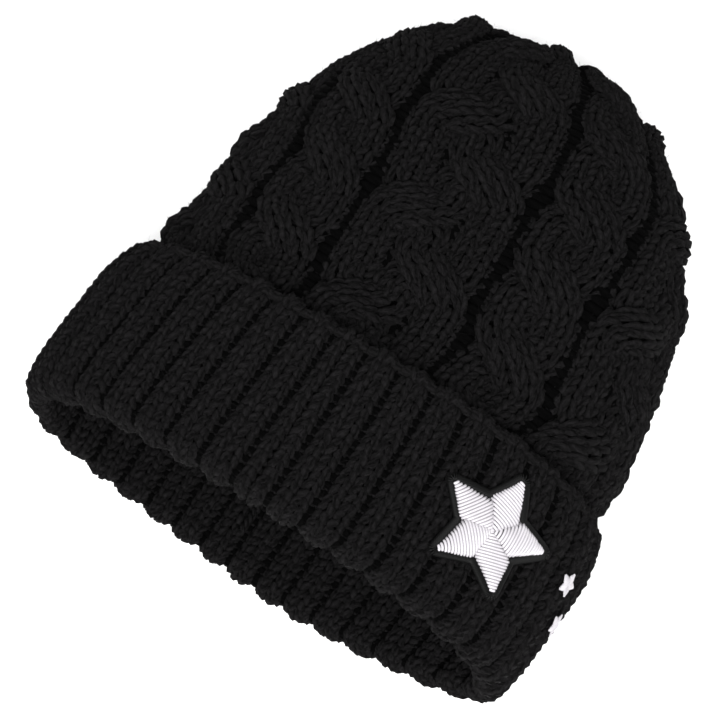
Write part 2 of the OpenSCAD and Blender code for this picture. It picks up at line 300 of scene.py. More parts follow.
class Cloth:
    """One face of the fabric on a grid: rows are even steps along each meridian, columns even steps round the hat."""

    ROWS, COLUMNS = 260, 840

    def __init__(self, hat, profile, outward_at, crowned=False):
        o, d = profile
        share = np.arange(self.COLUMNS)[None, :] / self.COLUMNS
        around = hat.crown_share(d[:, None], share) if crowned else hat.cuff_share(o[:, None], d[:, None], share)
        points = hat.layer(o[:, None], d[:, None], around)
        steps = np.linalg.norm(np.diff(points, axis=0), axis=2)
        travelled = np.concatenate([np.zeros((1, self.COLUMNS)), np.cumsum(steps, axis=0)])
        self.length = travelled[-1]
        wanted = np.linspace(0, 1, self.ROWS)
        self.grid = np.empty((self.ROWS, self.COLUMNS, 3))
        self.distance = np.empty((self.ROWS, self.COLUMNS))
        for column in range(self.COLUMNS):
            along = travelled[:, column] / self.length[column]
            self.distance[:, column] = np.interp(wanted, along, d)
            for axis in range(3):
                self.grid[:, column, axis] = np.interp(wanted, along, points[:, column, axis])
        self.around = np.linalg.norm(np.roll(self.grid, -1, axis=1) - self.grid, axis=2).sum(axis=1)
        normal = self.normals()
        row = int(outward_at * (self.ROWS - 1))
        facing = 1.0 if normal[row, 0, 2] > 0 else -1.0
        self.normal = normal * facing
        if crowned:
            self.gather(share)
            self.normal = self.normals() * facing

    def gather(self, share):
        """Folds drawn in by the gathering yarn: sunk between the cables, with one deeper dent beside the front."""
        s = np.linspace(0, 1, self.ROWS)[:, None]
        near_tip = smooth((s - 0.6) / 0.25) * (1 - smooth((s - 0.93) / 0.07))
        fold = FOLD_MM * np.abs(np.sin(TURN * 5 * (share + COLUMN_DRIFT * s))) ** 3
        aside = (share - DENT_SHARE + 0.5) % 1 - 0.5
        dent = DENT_MM * np.exp(-((aside / 0.07) ** 2)) * np.exp(-(((s - 0.9) / 0.07) ** 2))
        self.grid = self.grid - self.normal * (near_tip * fold + dent)[..., None]

    def normals(self):
        """Across the two grid directions, then averaged with the neighbours, so that no crease shows."""
        along = np.gradient(self.grid, axis=0)
        around = np.roll(self.grid, -1, axis=1) - np.roll(self.grid, 1, axis=1)
        normal = unit(np.cross(around, along))
        for _ in range(3):
            padded = np.concatenate([normal[:1], normal, normal[-1:]])
            normal = unit(
                padded[:-2] + 2 * normal + padded[2:] + np.roll(normal, 2, axis=1) + np.roll(normal, -2, axis=1)
            )
        return normal

    def sample(self, field, s, share):
        """A grid field between its four nearest grid points, weighted by nearness."""
        row = np.clip(s, 0, 1) * (self.ROWS - 1)
        column = (share % 1) * self.COLUMNS
        r0 = np.clip(np.floor(row).astype(int), 0, self.ROWS - 2)
        c0 = np.floor(column).astype(int) % self.COLUMNS
        c1 = (c0 + 1) % self.COLUMNS
        fr = (row - r0)[..., None]
        fc = (column - np.floor(column))[..., None]
        near = field[r0, c0] * (1 - fc) + field[r0, c1] * fc
        far = field[r0 + 1, c0] * (1 - fc) + field[r0 + 1, c1] * fc
        return near * (1 - fr) + far * fr

    def place(self, s, share, height):
        """Points a height above the face, and the face's normals there."""
        normal = unit(self.sample(self.normal, s, share))
        return self.sample(self.grid, s, share) + normal * height[..., None], normal


# ---------------------------------------------------------------- yarn


def curve_weights(count, per_span):
    """Weights that turn count control points into a smooth Catmull-Rom line with per_span points a span."""
    t = np.arange((count - 1) * per_span + 1) / per_span
    span = np.minimum(t.astype(int), count - 2)
    u = t - span
    basis = np.stack(
        [
            -0.5 * u**3 + u**2 - 0.5 * u,
            1.5 * u**3 - 2.5 * u**2 + 1,
            -1.5 * u**3 + 2 * u**2 + 0.5 * u,
            0.5 * u**3 - 0.5 * u**2,
        ],
        axis=1,
    )
    weights = np.zeros((len(t), count))
    for k in range(4):
        np.add.at(weights, (np.arange(len(t)), np.clip(span + k - 1, 0, count - 1)), basis[:, k])
    return weights


# One knit stitch, from the low loop at its left to its right leg: across in stitches, along in rows, depth
STITCH = [
    (0.00, -0.62, -2.3),
    (0.35, -0.50, -1.05),
    (0.275, 0.02, 0.0),
    (0.19, 0.54, -0.85),
    (0.50, 0.80, -2.3),
    (0.81, 0.54, -0.85),
    (0.725, 0.02, 0.0),
    (0.65, -0.50, -1.05),
]
# The yarn dives into the fabric at both ends of a strand
TUCK = (0.12, -0.35, -3.0)


def stitch_controls(wales):
    """Control points of one course over a strand of that many knit columns, centred on the strand."""
    points = [(-TUCK[0], TUCK[1], TUCK[2])]
    for k in range(wales):
        points += [(x + k, y, z) for x, y, z in STITCH]
    points.append((wales + TUCK[0], TUCK[1], TUCK[2]))
    controls = np.array(points)
    controls[:, 0] -= wales / 2
    controls[1, 2] -= 0.5
    return controls


def sweep(centre, normal, radius, sides):
    """Tubes round lines of points: each ring lies across its line, on the side and normal directions."""
    tangent = unit(np.gradient(centre, axis=1))
    side = unit(np.cross(tangent, normal))
    up = np.cross(side, tangent)
    angle = TURN * np.arange(sides) / sides
    spoke = np.cos(angle)[:, None] * side[:, :, None] + np.sin(angle)[:, None] * up[:, :, None]
    return centre[:, :, None] + radius[:, :, None, None] * spoke


class Soup:
    """Rings of vertices gathered into one mesh, with the yarn's own map: length in centimetres, and share of a turn."""

    def __init__(self):
        self.vertices, self.quads, self.caps, self.maps = [], [], [], []
        self.count = 0

    def add_tubes(self, centre, normal, radius, sides):
        """Adds tubes with closed ends. All lines have the same number of points."""
        radius = np.broadcast_to(radius, centre.shape[:2])
        tubes, points = centre.shape[:2]
        rings = sweep(centre, normal, radius, sides)
        first = self.count + np.arange(tubes * points * sides).reshape(tubes, points, sides)
        following = np.roll(first, -1, axis=2)
        quads = np.stack([first[:, :-1], first[:, 1:], following[:, 1:], following[:, :-1]], axis=-1)
        steps = np.linalg.norm(np.diff(centre, axis=1), axis=2)
        along = np.concatenate([np.zeros((tubes, 1)), np.cumsum(steps, axis=1)], axis=1) / 10
        along = along + np.arange(tubes)[:, None] * 0.37
        near = np.broadcast_to(along[:, :-1, None], quads.shape[:3])
        far = np.broadcast_to(along[:, 1:, None], quads.shape[:3])
        turn = np.broadcast_to(np.arange(sides) / sides, quads.shape[:3])
        step = 1 / sides
        self.maps.append(
            np.stack(
                [np.stack([near, turn], -1), np.stack([far, turn], -1),
                 np.stack([far, turn + step], -1), np.stack([near, turn + step], -1)],
                axis=-2,
            ).reshape(-1, 2)
        )
        self.vertices.append(rings.reshape(-1, 3))
        self.quads.append(quads.reshape(-1, 4))
        self.caps.append(np.concatenate([first[:, 0], first[:, -1, ::-1]]))
        self.count += tubes * points * sides

    def add_grid(self, points, closed_rows=False, closed_columns=True, turned=False):
        """Adds a grid of points as a surface. Its map is its place in the grid."""
        rows, columns = points.shape[:2]
        index = self.count + np.arange(rows * columns).reshape(rows, columns)
        if closed_columns:
            index = np.concatenate([index, index[:, :1]], axis=1)
        if closed_rows:
            index = np.concatenate([index, index[:1]], axis=0)
        quads = np.stack([index[:-1, :-1], index[1:, :-1], index[1:, 1:], index[:-1, 1:]], axis=-1)
        if turned:
            quads = quads[..., ::-1]
        r, c = np.meshgrid(np.arange(quads.shape[0]), np.arange(quads.shape[1]), indexing="ij")
        corners = [(r, c), (r + 1, c), (r + 1, c + 1), (r, c + 1)]
        if turned:
            corners = corners[::-1]
        self.maps.append(np.stack([np.stack(p, -1) for p in corners], axis=-2).reshape(-1, 2) * 0.1)
        self.vertices.append(points.reshape(-1, 3))
        self.quads.append(quads.reshape(-1, 4))
        self.count += rows * columns

    def build(self, name, material, body, slot, stands_for=(), flat_shaded=False):
        """Makes the object, in metres at the origin, and ties it to its body."""
        mesh = bpy.data.meshes.new(name)
        vertices = np.concatenate(self.vertices) * MM
        quads = np.concatenate(self.quads)
        loops, totals = [quads.ravel()], [np.full(len(quads), 4)]
        maps = [np.concatenate(self.maps)]
        for cap in self.caps:
            loops.append(cap.ravel())
            totals.append(np.full(len(cap), cap.shape[1]))
            maps.append(np.zeros((cap.size, 2)))
        loops, totals = np.concatenate(loops), np.concatenate(totals)
        mesh.vertices.add(len(vertices))
        mesh.vertices.foreach_set("co", vertices.astype(np.float32).ravel())
        mesh.loops.add(len(loops))
        mesh.loops.foreach_set("vertex_index", loops.astype(np.int32))
        mesh.polygons.add(len(totals))
        starts = np.concatenate([[0], np.cumsum(totals)[:-1]])
        mesh.polygons.foreach_set("loop_start", starts.astype(np.int32))
        mesh.update(calc_edges=True)
        layer = mesh.uv_layers.new(name="yarn")
        layer.data.foreach_set("uv", np.concatenate(maps).astype(np.float32).ravel())
        mesh.polygons.foreach_set("use_smooth", np.full(len(totals), not flat_shaded))
        mesh.materials.append(material)
        mesh.update()
        piece = bpy.data.objects.new(name, mesh)
        bpy.context.scene.collection.objects.link(piece)
        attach(piece, body)
        if stands_for:
            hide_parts(*stands_for)
        return piece


def hold_above_floor(centre, radius):
    """Lifts the points that would sink into the floor, so that the knit lies pressed flat on it."""
    centre[..., 2] = np.maximum(centre[..., 2], radius)
    return centre


# ---------------------------------------------------------------- materials


def add_node(tree, kind, settings=None, links=None, **properties):
    """Adds one shader node: its sockets' values, its incoming links and its own properties."""
    made = tree.nodes.new(kind)
    for key, value in properties.items():
        setattr(made, key, value)
    for key, value in (settings or {}).items():
        made.inputs[key].default_value = value
    for key, source in (links or {}).items():
        tree.links.new(source, made.inputs[key])
    return made


def new_material(name):
    """An empty material with its tree, and the surface shader that ends it."""
    material = bpy.data.materials.new(name)
    material.use_nodes = True
    tree = material.node_tree
    tree.nodes.clear()
    return material, tree


def end_material(tree, settings, links):
    """The Principled shader and the output."""
    shader = add_node(tree, "ShaderNodeBsdfPrincipled", settings, links)
    add_node(tree, "ShaderNodeOutputMaterial", links={"Surface": shader.outputs[0]})
    return shader


def rgba(value):
    """A colour with full alpha."""
    return (*value, 1.0)


def spun_yarn(name, dark, light, plies=3.0, pitch_cm=0.9, roughness=0.92, fuzz=0.01, bump_mm=0.9):
    """Soft-spun acrylic: three plies twist round each other every 9 mm, and loose fibres make it matt.

    The ply's relief is the size of a sine across the twist; tufts about a millimetre across add pale flecks. The colour
    follows the ply's relief too: darker in its grooves as painted shade, paler on its crests as painted highlight.
    """
    material, tree = new_material(name)
    uv = add_node(tree, "ShaderNodeUVMap", uv_map="yarn")
    split = add_node(tree, "ShaderNodeSeparateXYZ", links={0: uv.outputs[0]})
    along = add_node(tree, "ShaderNodeMath", {1: 1 / pitch_cm}, {0: split.outputs[0]}, operation="MULTIPLY")
    turns = add_node(
        tree, "ShaderNodeMath", {1: plies}, {0: split.outputs[1], 2: along.outputs[0]}, operation="MULTIPLY_ADD"
    )
    half_turns = add_node(tree, "ShaderNodeMath", {1: math.pi}, {0: turns.outputs[0]}, operation="MULTIPLY")
    wave = add_node(tree, "ShaderNodeMath", links={0: half_turns.outputs[0]}, operation="SINE")
    ply = add_node(tree, "ShaderNodeMath", links={0: wave.outputs[0]}, operation="ABSOLUTE")
    # Fibres lie along the twist: long in the yarn's length, fine across it
    length_way = add_node(tree, "ShaderNodeMath", {1: 3.0}, {0: split.outputs[0]}, operation="MULTIPLY")
    across_way = add_node(tree, "ShaderNodeMath", {1: 7.0}, {0: turns.outputs[0]}, operation="MULTIPLY")
    strand = add_node(tree, "ShaderNodeCombineXYZ", links={0: length_way.outputs[0], 1: across_way.outputs[0]})
    fibre = add_node(
        tree, "ShaderNodeTexNoise", {"Scale": 1.6, "Detail": 3.0, "Roughness": 0.6}, {"Vector": strand.outputs[0]}
    )
    place = add_node(tree, "ShaderNodeTexCoord")
    # Heathering: paler tufts about a millimetre across, which is 800 to a metre
    tuft = add_node(
        tree,
        "ShaderNodeTexNoise",
        {"Scale": 800.0, "Detail": 3.0, "Roughness": 0.75},
        {"Vector": place.outputs["Object"]},
    )
    # Painted shade and highlight: the ply's relief darkens the colour in its grooves and lightens it on its crests; the
    # tufts add random pale flecks
    ply_shade_and_fleck = add_node(tree, "ShaderNodeMath", {1: 0.3}, {0: ply.outputs[0], 2: tuft.outputs[0]},
                       operation="MULTIPLY_ADD")
    both = add_node(tree, "ShaderNodeMath", links={0: fibre.outputs[0], 1: ply_shade_and_fleck.outputs[0]}, operation="MULTIPLY")
    ramp = add_node(tree, "ShaderNodeValToRGB", links={0: both.outputs[0]})
    ramp.color_ramp.elements[0].position = 0.22
    ramp.color_ramp.elements[1].position = 0.52
    ramp.color_ramp.elements[0].color = rgba(dark)
    ramp.color_ramp.elements[1].color = rgba(light)
    rise = add_node(tree, "ShaderNodeMath", {1: 0.55, 2: 0.0}, {0: ply.outputs[0]}, operation="MULTIPLY_ADD")
    fleck = add_node(tree, "ShaderNodeMath", {1: 1.2}, {0: tuft.outputs[0], 2: rise.outputs[0]},
                     operation="MULTIPLY_ADD")
    height = add_node(tree, "ShaderNodeMath", {1: 0.9}, {0: fibre.outputs[0], 2: fleck.outputs[0]},
                      operation="MULTIPLY_ADD")
    bump = add_node(
        tree, "ShaderNodeBump", {"Strength": 0.9, "Distance": bump_mm * MM}, {"Height": height.outputs[0]}
    )
    end_material(
        tree,
        {"Roughness": roughness, "Sheen Weight": fuzz, "Sheen Roughness": 0.5, "Specular IOR Level": 0.03,
         "Sheen Tint": rgba((0.75, 0.73, 0.72))},
        {"Base Color": ramp.outputs[0], "Normal": bump.outputs[0]},
    )
    return material


def rayon_thread(name, tone, roughness=0.32, gloss=0.5):
    """Embroidery rayon: shiny filaments side by side, seen as fine lines along each stitch."""
    material, tree = new_material(name)
    uv = add_node(tree, "ShaderNodeUVMap", uv_map="yarn")
    split = add_node(tree, "ShaderNodeSeparateXYZ", links={0: uv.outputs[0]})
    twist = add_node(tree, "ShaderNodeMath", {1: 12.0}, {0: split.outputs[0]}, operation="MULTIPLY")
    turns = add_node(
        tree, "ShaderNodeMath", {1: 4.0}, {0: split.outputs[1], 2: twist.outputs[0]}, operation="MULTIPLY_ADD"
    )
    angle = add_node(tree, "ShaderNodeMath", {1: TURN}, {0: turns.outputs[0]}, operation="MULTIPLY")
    wave = add_node(tree, "ShaderNodeMath", links={0: angle.outputs[0]}, operation="SINE")
    place = add_node(tree, "ShaderNodeTexCoord")
    stain = add_node(tree, "ShaderNodeTexNoise", {"Scale": 300.0, "Detail": 2.0}, {"Vector": place.outputs["Object"]})
    ramp = add_node(tree, "ShaderNodeValToRGB", links={0: stain.outputs[0]})
    ramp.color_ramp.elements[0].position = 0.3
    ramp.color_ramp.elements[0].color = rgba([c * 0.92 for c in tone])
    ramp.color_ramp.elements[1].position = 0.6
    ramp.color_ramp.elements[1].color = rgba(tone)
    bump = add_node(tree, "ShaderNodeBump", {"Strength": 0.5, "Distance": 0.05 * MM}, {"Height": wave.outputs[0]})
    end_material(
        tree,
        {"Roughness": roughness, "Specular IOR Level": gloss},
        {"Base Color": ramp.outputs[0], "Normal": bump.outputs[0]},
    )
    return material


def bonded_fibre(name, tone):
    """Non-woven backing: short fibres bonded flat in every direction, matt and slightly cloudy."""
    material, tree = new_material(name)
    place = add_node(tree, "ShaderNodeTexCoord")
    web = add_node(
        tree, "ShaderNodeTexNoise", {"Scale": 1800.0, "Detail": 5.0, "Roughness": 0.7},
        {"Vector": place.outputs["Object"]},
    )
    ramp = add_node(tree, "ShaderNodeValToRGB", links={0: web.outputs[0]})
    ramp.color_ramp.elements[0].color = rgba([c * 0.7 for c in tone])
    ramp.color_ramp.elements[1].color = rgba(tone)
    bump = add_node(tree, "ShaderNodeBump", {"Strength": 0.6, "Distance": 0.1 * MM}, {"Height": web.outputs[0]})
    end_material(tree, {"Roughness": 0.9}, {"Base Color": ramp.outputs[0], "Normal": bump.outputs[0]})
    return material


def satin_tape(name, tone):
    """Woven satin label tape: fine weft lines every 0.3 mm, drawn at 0.6 mm so that they show, and a soft gloss."""
    material, tree = new_material(name)
    place = add_node(tree, "ShaderNodeTexCoord")
    lines = add_node(
        tree, "ShaderNodeTexWave", {"Scale": 1 / (0.6 * MM) / 20, "Distortion": 0.3, "Detail": 1.0},
        {"Vector": place.outputs["Object"]}, bands_direction="Y",
    )
    ramp = add_node(tree, "ShaderNodeValToRGB", links={0: lines.outputs[0]})
    ramp.color_ramp.elements[0].color = rgba([c * 0.86 for c in tone])
    ramp.color_ramp.elements[1].color = rgba(tone)
    bump = add_node(tree, "ShaderNodeBump", {"Strength": 0.4, "Distance": 0.05 * MM}, {"Height": lines.outputs[0]})
    end_material(
        tree, {"Roughness": 0.38, "Specular IOR Level": 0.5, "Sheen Weight": 0.15},
        {"Base Color": ramp.outputs[0], "Normal": bump.outputs[0]},
    )
    return material


def loose_fibre(name, tone):
    """Loose acrylic fibres that stand off the yarn: thin and matt, some darker than others."""
    material, tree = new_material(name)
    place = add_node(tree, "ShaderNodeTexCoord")
    shade = add_node(tree, "ShaderNodeTexNoise", {"Scale": 200.0, "Detail": 2.0}, {"Vector": place.outputs["Object"]})
    ramp = add_node(tree, "ShaderNodeValToRGB", links={0: shade.outputs[0]})
    ramp.color_ramp.elements[0].position = 0.35
    ramp.color_ramp.elements[0].color = rgba([c * 0.35 for c in tone])
    ramp.color_ramp.elements[1].position = 0.65
    ramp.color_ramp.elements[1].color = rgba(tone)
    end_material(tree, {"Roughness": 0.9, "Specular IOR Level": 0.05}, {"Base Color": ramp.outputs[0]})
    return material


def pale_floor(name, tone):
    """Plain matt board, with a faint unevenness that only softens the light."""
    material, tree = new_material(name)
    place = add_node(tree, "ShaderNodeTexCoord")
    cloud = add_node(tree, "ShaderNodeTexNoise", {"Scale": 3.0}, {"Vector": place.outputs["Object"]})
    ramp = add_node(tree, "ShaderNodeValToRGB", links={0: cloud.outputs[0]})
    ramp.color_ramp.elements[0].color = rgba([c * 0.985 for c in tone])
    ramp.color_ramp.elements[1].color = rgba(tone)
    end_material(tree, {"Roughness": 0.85}, {"Base Color": ramp.outputs[0]})
    return material


MATERIALS = {}


def material(kind):
    """One material for each finish, made when it is first asked for."""
    tones = bpy.context.scene.beanie_colours
    makers = {
        "yarn": lambda: spun_yarn("soft-spun acrylic yarn", tones.yarn, tones.yarn_light),
        # Painted shade: the same yarn at a fiftieth to a tenth of its paler tone, for the grooves' and gutters' depths,
        # their purl bars and the hat's inside
        "painted_shade_yarn": lambda: spun_yarn(
            "yarn darkened as painted shade",
            [c * 0.02 for c in tones.yarn_light],
            [c * 0.1 for c in tones.yarn_light],
            fuzz=0.0,
        ),
        "fuzz": lambda: loose_fibre("loose acrylic fibre", [c * 0.6 for c in tones.yarn_light]),
        "white_thread": lambda: rayon_thread("white embroidery rayon", tones.white_thread),
        "black_thread": lambda: rayon_thread("black embroidery rayon", tones.black_thread, 0.5, 0.12),
        "backing": lambda: bonded_fibre("non-woven backing", tones.backing),
        "label": lambda: satin_tape("woven satin tape", tones.label),
        "floor": lambda: pale_floor("matt floor board", tones.floor),
    }
    if kind not in MATERIALS:
        MATERIALS[kind] = makers[kind]()
    return MATERIALS[kind]


# ---------------------------------------------------------------- knitting

# Sides of a stitch's tube, and points on each span between two control points
YARN_SIDES, SPAN_POINTS = 5, 2
# How much the yarn thins where it dives behind the face
THIN_IN_DEPTH = 0.22
# Thickness of the fabric, behind which no yarn passes
FABRIC_MM = 5.9
# How far each control point strays, in stitches across, rows along and millimetres deep; and the radius's spread
STRAY, RADIUS_SPREAD = (0.035, 0.05, 0.12), 0.06
# Stitch points less deep than this are where loose fibres can start
SURFACE_DEPTH_MM = -0.8


def knit_courses(soup, cloth, size, wales, rows, route, seed, spots=None):
    """Knits one strand: every course is a yarn that goes through the stitches' control points.

    route(across, along) gives each control point's share of the way round, its share of the profile, its
    extra height and the yarn's thickness there. across is in stitches from the strand's middle, along in rows.
    """
    draw = np.random.default_rng(seed)
    controls = stitch_controls(wales)
    weights = curve_weights(len(controls), SPAN_POINTS)
    loose = draw.normal(0, 1, (len(rows), len(controls), 3)) * STRAY
    line = np.einsum("pc,rck->rpk", weights, controls[None] + loose)
    across = line[..., 0]
    along = line[..., 1] + np.asarray(rows, float)[:, None]
    share, s, lift, thick = route(across, along)
    depth = line[..., 2]
    radius = size.yarn_r * thick * (1 - THIN_IN_DEPTH * np.clip(-depth / 2, 0, 1))
    radius = radius * draw.normal(1, RADIUS_SPREAD, radius.shape)
    height = np.maximum(lift + depth * thick - size.yarn_r, radius - FABRIC_MM)
    centre, normal = cloth.place(s, share, height)
    centre = hold_above_floor(centre, radius)
    soup.add_tubes(centre, normal, radius, YARN_SIDES)
    if spots is not None:
        spots.append(np.concatenate([centre, normal, radius[..., None]], axis=2)[:, depth[0] > SURFACE_DEPTH_MM])


def purl_bars(soup, cloth, rows, pitch_share, share, width_mm, height, radius):
    """The short bars at the bottom of a groove: each arches from one wall to the other."""
    t = np.linspace(-1, 1, 5)
    rows = np.asarray(rows, float)
    across = np.broadcast_to(t * width_mm / 2, (len(rows), 5))
    s = np.broadcast_to((rows * pitch_share)[:, None], (len(rows), 5)) + (t**2 * 0.25 * pitch_share)[None]
    rise = np.broadcast_to(height - 1.1 * t**2, (len(rows), 5))
    centre, normal = cloth.place(s, share + across / cloth.around.max(), rise)
    centre = hold_above_floor(centre, radius)
    soup.add_tubes(centre, normal, np.full(centre.shape[:2], radius), 5)


# Share of a rib's pitch that its two knit columns take: the rest is the groove
RIB_FILL = 0.85
# How far the fabric falls at a stitch's distance from the rib's middle
RIB_ROUND_MM = 3.0
# The ribs are knitted a little tighter than the crown
CUFF_ROW_SHARE = 0.94
# The grooves' purl bars: width, height above the face, radius and the first row that has one
RIB_BAR_WIDTH_MM, RIB_BAR_LIFT_MM, RIB_BAR_R_MM, RIB_BAR_START = 6.0, -4.2, 1.5, 5


def rib_route(cloth, size, rib_share, s_per_row):
    """A rib runs straight along the fabric, and its crest is rounded across."""
    stitch_share = RIB_FILL / size.rib_count / 2

    def route(across, along):
        share = rib_share + across * stitch_share
        lift = -RIB_ROUND_MM * np.abs(across) ** 3
        return share, along * s_per_row, lift, np.ones_like(across)

    return route


# Stitch points on the outside, with their normals and radii, gathered for the loose fibres
SPOTS = []


class BEANIE_OT_knit_cuff(bpy.types.Operator):
    """Knit the ribbed fabric: the turned-up cuff, its fold and the band inside"""

    bl_idname = "beanie.knit_cuff"
    bl_label = "Knit the cuff and band"

    def execute(self, context):
        size = context.scene.beanie_sizes
        hat = Hat(size)
        cloth = Cloth(hat, hat.cuff_profile(), 0.35)
        mean_len = cloth.length.mean()
        rows = int(round(mean_len / (size.row_pitch * CUFF_ROW_SHARE)))
        s_per_row = 1 / rows
        o, d = hat.cuff_profile()
        fold_row = int(rows * self.fold_share(hat, o, d))
        thirds = np.array_split(np.arange(size.rib_count), 3)
        core_soup = Soup()
        for number, ribs in enumerate(thirds):
            cuff_soup, band_soup = Soup(), Soup()
            for rib in ribs:
                share = rib / size.rib_count
                route = rib_route(cloth, size, share, s_per_row)
                knit_courses(cuff_soup, cloth, size, 2, np.arange(1, fold_row), route, 100 + rib, SPOTS)
                knit_courses(band_soup, cloth, size, 2, np.arange(fold_row, rows - 1), route, 200 + rib)
                groove = share + 0.5 / size.rib_count
                bars = np.arange(RIB_BAR_START, rows - 1)
                purl_bars(
                    core_soup, cloth, bars, s_per_row, groove, RIB_BAR_WIDTH_MM, RIB_BAR_LIFT_MM, RIB_BAR_R_MM
                )
            yarn = material("yarn")
            cuff_soup.build(f"cuff_ribs_{number + 1}", yarn, "hat", "yarn", ["turned_cuff"])
            band_soup.build(f"band_ribs_{number + 1}", yarn, "hat", "yarn", ["inner_band"])
        self.core(core_soup, cloth, s_per_row)
        return {"FINISHED"}

    def fold_share(self, hat, o, d):
        """Share of the profile's length at which the fold's foremost point lies."""
        steps = np.hypot(np.diff(o), np.diff(d))
        travelled = np.concatenate([[0], np.cumsum(steps)]) / steps.sum()
        return travelled[np.argmin(d)]

    def core(self, soup, cloth, start):
        """The fabric's inside, a thin closed shell under the stitches, and the grooves' purl bars on it, all in
        darkened yarn as painted shade.
        """
        s = np.linspace(start, 1.0, 110)
        share = np.arange(280) / 280
        s, share = np.meshgrid(s, share, indexing="ij")
        depth = mix(-2.7, -4.0, smooth((s - 0.08) * 20))
        face = cloth.place(s, share, depth)[0]
        back = cloth.place(s, share, depth - 0.4)[0]
        soup.add_grid(np.concatenate([face, back[::-1]]), closed_rows=True, turned=True)
        soup.build("cuff_core", material("painted_shade_yarn"), "hat", "yarn")


# Half-widths of the wide plait and of the narrow rope, as shares of one repeat; the rest is two grooves
PLAIT_HALF, ROPE_HALF = 0.296, 0.196
# Rows between two crossings, and the row of the first one; each repeat's rope crosses a little later
PLAIT_CROSS_ROWS, ROPE_CROSS_ROWS = 6.1, 8.5
PLAIT_PHASE, ROPE_PHASE, ROPE_PHASE_STEP = 6.6, 9.4, 0.17
# Knit columns in a strand, and in the narrower strands near the tip, with the widths between which each is used
STRAND_WALES = 3
WALE_BANDS = ((3, 9.0, 0.66), (2, 0.66, 0.40), (1, 0.40, 0.10))
# The gutters' purl bars: how far past a plait's edge they lie, width, height above the face and radius
GUTTER_SHARE, GUTTER_WIDTH_MM, GUTTER_LIFT_MM, GUTTER_R_MM = 0.004, 8.0, -3.9, 2.1


def crossings(strands, swaps, count):
    """Each strand's place before every crossing, and which strands go over (1) or under (-1) at it.

    swaps lists, in turn, the left place of each crossing pair and whether the pair's right strand goes over.
    """
    order = list(range(strands))
    place = np.zeros((strands, count + 1))
    level = np.zeros((strands, count))
    for m in range(count):
        for spot, strand in enumerate(order):
            place[strand, m] = spot
        left, right_over = swaps[m % len(swaps)]
        a, b = order[left], order[left + 1]
        level[a, m], level[b, m] = (-1, 1) if right_over else (1, -1)
        order[left], order[left + 1] = b, a
    for spot, strand in enumerate(order):
        place[strand, count] = spot
    return place - (strands - 1) / 2, level


class Cable:
    """A cable's strands: each moves sideways at a crossing along a smooth step, and rises or dives meanwhile."""

    def __init__(self, strands, swaps, cross_rows, phase_rows, rows):
        self.cross_rows, self.phase = cross_rows, phase_rows
        self.count = int(rows / cross_rows) + 4
        self.place, self.level = crossings(strands, swaps, self.count)
        self.strands = strands

    def strand(self, k, along, travel_rows):
        """Sideways place in strands, its slope per row, and the level from -1 (under) to 1 (over)."""
        v = (along - self.phase) / self.cross_rows + 1
        m = np.clip(np.round(v).astype(int), 0, self.count - 1)
        local = (v - m) * self.cross_rows / travel_rows
        start, end = self.place[k, m], self.place[k, m + 1]
        k_in = np.clip(local + 0.5, 0, 1)
        sideways = start + (end - start) * smooth(k_in)
        slope = (end - start) * 6 * k_in * (1 - k_in) / travel_rows
        level = self.level[k, m] * np.cos(math.pi * np.clip(local, -0.5, 0.5)) ** 2
        return sideways, slope, level


# Rise of a strand that crosses over, dive of one that goes under, and how round a strand is across
OVER_MM, UNDER_MM, STRAND_ROUND_MM = 2.4, 2.6, 2.9
# How much wider a strand lies where it crosses over, and where it is pressed flat under the other
OVER_SPREAD, UNDER_SPREAD = 0.08, 0.32
# Share of a crossing's slope that the stitches turn with
TURN_WITH = 0.75


